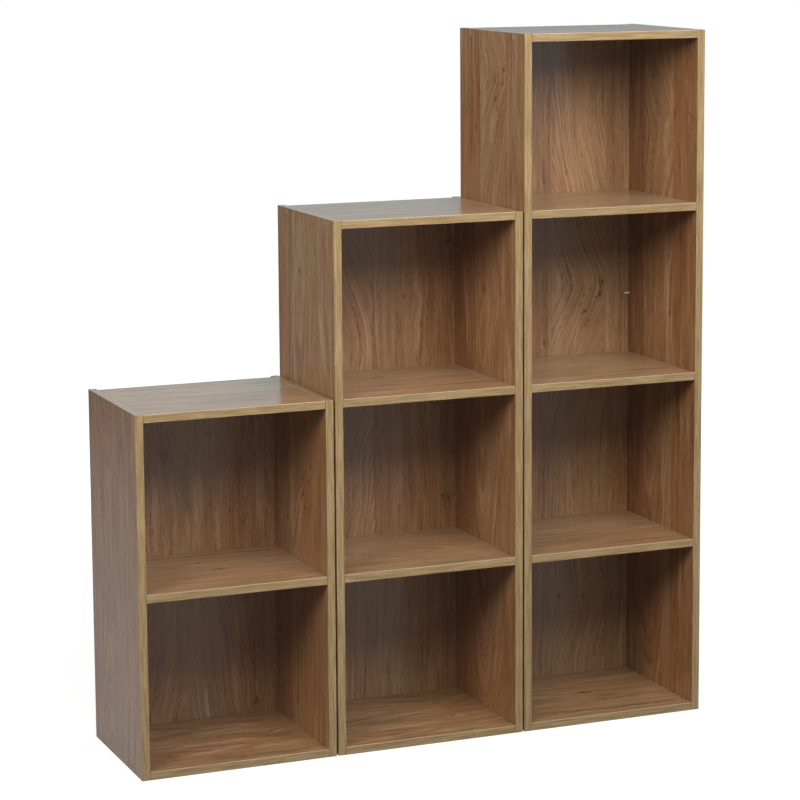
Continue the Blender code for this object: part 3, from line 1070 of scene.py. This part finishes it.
class BOOKCASE_OT_sides(bpy.types.Operator):
    """Print the six sides, band their front edges and soften their arrises"""

    bl_idname = "bookcase.sides"
    bl_label = "Dress the sides"

    def execute(self, context):
        for tower in TOWERS:
            for hand in ("left", "right"):
                dress(f"{tower}_{hand}_side", side_material(tower, hand))
                soften(f"{tower}_{hand}_side")
        return {"FINISHED"}


class BOOKCASE_OT_level_boards(bpy.types.Operator):
    """Print the bottoms, shelves and tops, band their front edges and soften their arrises"""

    bl_idname = "bookcase.level_boards"
    bl_label = "Dress the level boards"

    def execute(self, context):
        for tower in TOWERS:
            for name in level_boards(tower):
                dress(name, level_material(name, tower))
                soften(name)
        return {"FINISHED"}


class BOOKCASE_OT_backs(bpy.types.Operator):
    """Print the front of the three backs"""

    bl_idname = "bookcase.backs"
    bl_label = "Dress the backs"

    def execute(self, context):
        for tower in TOWERS:
            dress(f"{tower}_back", back_material(tower))
        return {"FINISHED"}


class BOOKCASE_OT_fasteners(bpy.types.Operator):
    """Give the screws and the pin their steel"""

    bl_idname = "bookcase.fasteners"
    bl_label = "Dress the screws and the pin"

    def execute(self, context):
        screw_steel = steel_material("Zinc screw")
        for name in NODES:
            if name.endswith("_screw"):
                dress(name, screw_steel)
        dress("tall_back_pin", steel_material("Bright pin", 0.10))
        return {"FINISHED"}


class BOOKCASE_OT_caps(bpy.types.Operator):
    """Add the round cover cap over each screw"""

    bl_idname = "bookcase.caps"
    bl_label = "Add the screw caps"

    def execute(self, context):
        settings = context.scene.bookcase_caps
        mesh = cap_mesh("screw_cap", settings.diameter, settings.thickness)
        mesh.materials.append(None)
        pale = cap_material("Cap, pale", tuple(settings.pale), 0.15, 0.35)
        brown = cap_material("Cap, brown", tuple(settings.brown), 0.75, 0.85)
        for tower in TOWERS:
            for board in level_boards(tower):
                low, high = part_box(board)
                height = (low.z + high.z) / 2
                hands = (
                    ("left", TOWER_LEFT[tower] + settings.set_in, 0.0),
                    ("right", TOWER_RIGHT[tower] - settings.set_in, math.pi),
                )
                for hand, face, turn in hands:
                    for position, depth in SCREW_PLACES:
                        cap = new_object(f"{board}_{hand}_{position}_cap", mesh)
                        spot = Vector((face, depth, height))
                        cap.matrix_world = Matrix.Translation(spot) @ Matrix.Rotation(turn, 4, "Z")
                        cap.material_slots[0].link = "OBJECT"
                        cap.material_slots[0].material = brown if tower == "low" else pale
                        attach(cap, "root")
        return {"FINISHED"}


# Each lamp's setting, name, place and size, and the point that they all face
LAMPS = (
    ("front_left", "Front left lamp", (-0.40, -1.46, 1.64), (0.90, 0.70)),
    ("front_right", "Front right lamp", (0.55, -1.49, 1.88), (1.00, 1.10)),
    ("left", "Left lamp", (-2.20, -1.50, 2.02), (1.20, 1.30)),
    ("rear_right", "Rear right lamp", (1.90, 2.10, 1.50), (1.20, 1.20)),
    ("rear_left", "Rear left lamp", (-0.60, 2.60, 1.40), (1.20, 1.20)),
)
LIT_POINT = Vector((0.0, 0.0, 0.5))


def add_lamp(name, place, size, watts):
    data = bpy.data.lights.new(name, "AREA")
    data.shape = "RECTANGLE"
    data.size, data.size_y = size
    data.energy = watts
    lamp = new_object(name, data)
    lamp.location = place
    lamp.rotation_euler = (LIT_POINT - Vector(place)).to_track_quat("-Z", "Y").to_euler()
    lamp.visible_camera = False
    lamp.visible_glossy = False


def light_path(w):
    """The light path's outputs, and 1 where the camera looks, straight or through glass."""
    path = w.add("ShaderNodeLightPath").outputs
    return path, w.calc("MAXIMUM", path["Is Camera Ray"], path["Is Transmission Ray"])


def floor_material(settings):
    """A pale floor that takes the set's shadow and that the camera sees as white."""
    material = bpy.data.materials.new("Studio floor")
    w = fresh_wiring(material)
    place = w.place()
    speckle = w.noise(place, 140.0, 2.0)
    shade = settings.floor_shade
    tint = w.mix(w.spread(speckle, 0.3, 0.7), (*[shade] * 3, 1.0), (*[0.96 * shade] * 3, 1.0))
    lit = w.add("ShaderNodeBsdfPrincipled", {
        "Base Color": tint, "Roughness": 0.9, "Specular IOR Level": 0.0
    })
    path, looked_at = light_path(w)
    seen = w.spread(w.length(place), 0.7, 2.4, settings.floor_glow, 1.0)
    mirrored = w.times(w.spread(w.split(place)[1], -0.5, 4.0, 0.28, 0.08), path["Is Glossy Ray"])
    strength = w.calc("MAXIMUM", w.times(seen, looked_at), mirrored)
    glow = w.add("ShaderNodeEmission", {"Color": WHITE, "Strength": strength})
    both = w.add("ShaderNodeAddShader", {0: lit.outputs[0], 1: glow.outputs[0]})
    w.add("ShaderNodeOutputMaterial", {"Surface": both.outputs[0]})
    return material


def make_floor(settings):
    shape = bmesh.new()
    bmesh.ops.create_circle(shape, cap_ends=True, segments=96, radius=settings.floor_radius)
    floor = new_object("floor", new_mesh("floor", shape))
    floor.data.materials.append(floor_material(settings))


def make_world(settings):
    """White for the camera, bright in front and dim behind for gloss, and an even low light."""
    world = bpy.data.worlds.new("Studio")
    bpy.context.scene.world = world
    w = fresh_wiring(world)
    towards = w.add("ShaderNodeTexCoord").outputs["Generated"]
    x, y, z = w.split(towards)
    dim = w.times(w.spread(x, 0.1, -0.2), w.spread(y, 0.0, 0.4))
    sky = w.spread(z, 0.02, 0.13, 0.20, 0.80)
    boxes = w.plus(w.spread(z, 0.02, 0.22, 1.6, 1.1), w.spread(z, 0.30, 0.65, 0.0, 2.2))
    level = w.mix_value(w.spread(y, 0.1, -0.4), sky, boxes)
    level = w.times(level, w.spread(dim, 0.0, 1.0, 1.0, 0.13, smooth=False))
    cool = {0: (0.53, 0.71, 0.79), "Scale": level}
    cool = w.add("ShaderNodeVectorMath", cool, operation="SCALE").outputs[0]
    path, looked_at = light_path(w)
    tint = w.mix(looked_at, cool, WHITE)
    shown = w.calc("MAXIMUM", looked_at, path["Is Glossy Ray"])
    room = w.add("ShaderNodeBackground", {"Color": WHITE, "Strength": settings.room_light})
    white = w.add("ShaderNodeBackground", {"Color": tint, "Strength": 1.0})
    both = w.add("ShaderNodeMixShader", {0: shown, 1: room.outputs[0], 2: white.outputs[0]})
    w.add("ShaderNodeOutputWorld", {"Surface": both.outputs[0]})


def make_camera(settings):
    data = bpy.data.cameras.new("Camera")
    data.lens = settings.camera_lens
    data.sensor_width = 36.0
    data.shift_x, data.shift_y = settings.camera_shift
    camera = new_object("Camera", data)
    turn = Matrix.Rotation(-settings.camera_yaw, 4, "Z")
    tilt = Matrix.Rotation(math.pi / 2 - settings.camera_pitch, 4, "X")
    lean = Matrix.Rotation(settings.camera_roll, 4, "Z")
    camera.matrix_world = Matrix.Translation(settings.camera_place) @ turn @ tilt @ lean
    bpy.context.scene.camera = camera


class BOOKCASE_OT_stage(bpy.types.Operator):
    """Set the floor, the room, the lamps and the camera"""

    bl_idname = "bookcase.stage"
    bl_label = "Set the stage"

    def execute(self, context):
        settings = context.scene.bookcase_stage
        make_floor(settings)
        make_world(settings)
        for strength, name, place, size in LAMPS:
            add_lamp(name, place, size, getattr(settings, strength))
        make_camera(settings)
        context.scene.view_settings.view_transform = "Standard"
        return {"FINISHED"}


OPERATORS = (
    BOOKCASE_OT_sides,
    BOOKCASE_OT_level_boards,
    BOOKCASE_OT_backs,
    BOOKCASE_OT_fasteners,
    BOOKCASE_OT_caps,
    BOOKCASE_OT_stage,
)


class BOOKCASE_PT_panel(bpy.types.Panel):
    """Lists the settings and the steps that finish the bookcases"""

    bl_idname = "BOOKCASE_PT_panel"
    bl_label = "Bookcases"
    bl_space_type = "VIEW_3D"
    bl_region_type = "UI"
    bl_category = "Bookcases"

    def draw(self, context):
        for attribute, group in GROUPS.items():
            box = self.layout.box()
            box.label(text=group.__doc__)
            for name in group.__annotations__:
                box.prop(getattr(context.scene, attribute), name)
        for operator in OPERATORS:
            self.layout.operator(operator.bl_idname)


CLASSES = (*GROUPS.values(), *OPERATORS, BOOKCASE_PT_panel)


def register():
    for item in CLASSES:
        bpy.utils.register_class(item)
    for attribute, group in GROUPS.items():
        setattr(bpy.types.Scene, attribute, PointerProperty(type=group))


def unregister():
    for attribute in GROUPS:
        delattr(bpy.types.Scene, attribute)
    for item in reversed(CLASSES):
        bpy.utils.unregister_class(item)


def main():
    register()
    bpy.ops.bookcase.sides()
    bpy.ops.bookcase.level_boards()
    bpy.ops.bookcase.backs()
    bpy.ops.bookcase.fasteners()
    bpy.ops.bookcase.caps()
    bpy.ops.bookcase.stage()


if __name__ == "__main__":
    main()
